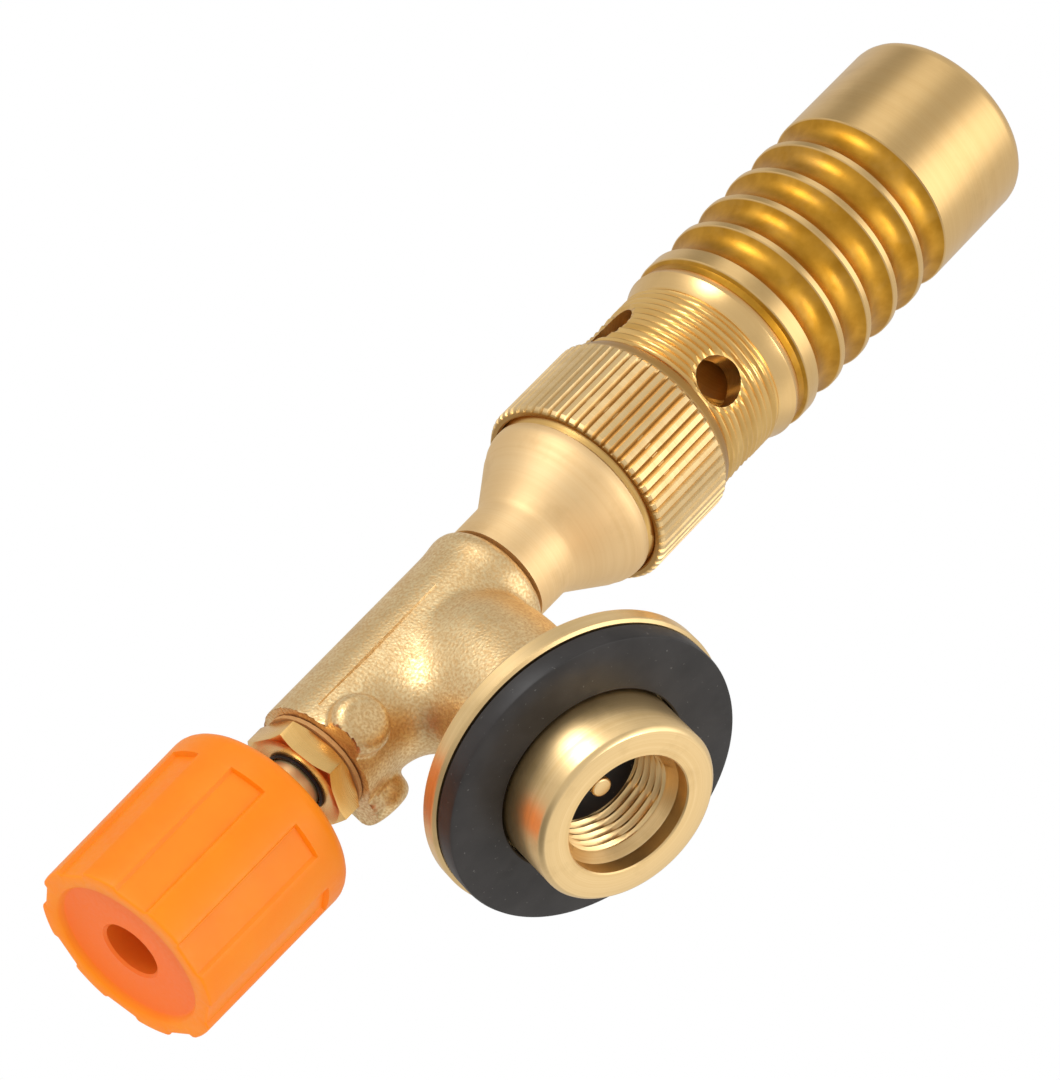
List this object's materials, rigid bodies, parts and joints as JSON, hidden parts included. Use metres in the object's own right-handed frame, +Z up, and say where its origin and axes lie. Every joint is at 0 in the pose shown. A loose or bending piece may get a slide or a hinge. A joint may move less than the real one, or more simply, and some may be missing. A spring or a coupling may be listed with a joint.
{
  "type": "gas torch head",
  "caption": "Brass torch head for a screw-on gas cartridge, with a tilted grooved burner, a knurled sliding air sleeve and an orange plastic valve knob.",
  "frame": {"origin": "centre of the mouth of the threaded connector that screws onto the gas cartridge", "axes": "+Z up the cartridge's axis into the torch, +X towards the side that the burner points to, with the burner's axis in the XZ plane"},
  "size_m": [0.1208, 0.0294, 0.0654],
  "materials": {
    "forged_brass": "forged and tumbled, grainy satin",
    "turned_brass": "turned, satin to bright",
    "knurled_brass": "straight knurl, bright",
    "burner_brass": "turned, warm gold, bright in the grooves",
    "orange_plastic": "moulded, satin",
    "black_rubber": "matt moulded",
    "white_ptfe": "waxy white",
    "zinc_steel": "zinc plated",
    "sintered_bronze": "porous, matt"
  },
  "bodies": {
    "torch_body": {"valve_body": "forged_brass", "gland_nut": "turned_brass", "gland_washer": "black_rubber", "canister_disc": "turned_brass", "pad_washer": "black_rubber", "inlet_boss": "turned_brass", "inlet_seal": "black_rubber", "depressor_pin": "turned_brass", "inlet_filter": "sintered_bronze", "inlet_gasket": "white_ptfe", "burner_neck": "turned_brass", "neck_gasket": "white_ptfe", "jet_holder": "turned_brass", "jet": "turned_brass", "jet_filter": "sintered_bronze", "burner_tube": "burner_brass", "mixing_tube": "turned_brass", "flame_holder": "turned_brass", "spindle_wiper": "black_rubber"},
    "stem_ring": {"spindle_o_ring": "black_rubber"},
    "knob": {"spindle": "turned_brass", "control_knob": "orange_plastic", "knob_screw": "zinc_steel"},
    "sleeve_ring": {"sleeve_friction_ring": "zinc_steel"},
    "sleeve": {"air_sleeve": "knurled_brass"}
  },
  "joints": [
    {"name": "spindle_travel", "type": "slide", "parent": "torch_body", "child": "stem_ring", "axis": [0.9409, 0, 0.3387], "range_m": [-0.0015, 0.00075]},
    {"name": "knob_turn", "type": "hinge", "parent": "stem_ring", "child": "knob", "pos_m": [0, 0, 0.03025], "axis": [0.9409, 0, 0.3387], "range_deg": [-720, 360]},
    {"name": "sleeve_travel", "type": "slide", "parent": "torch_body", "child": "sleeve_ring", "axis": [0.9409, 0, 0.3387], "range_m": [0, 0.0075]},
    {"name": "sleeve_turn", "type": "hinge", "parent": "sleeve_ring", "child": "sleeve", "pos_m": [0, 0, 0.03025], "axis": [0.9409, 0, 0.3387], "range_deg": [0, 3600]}
  ],
  "couplings": [
    {"joint": "spindle_travel", "follows": "knob_turn", "m_per_rad": 0.00011937},
    {"joint": "sleeve_travel", "follows": "sleeve_turn", "m_per_rad": 0.00011937}
  ]
}
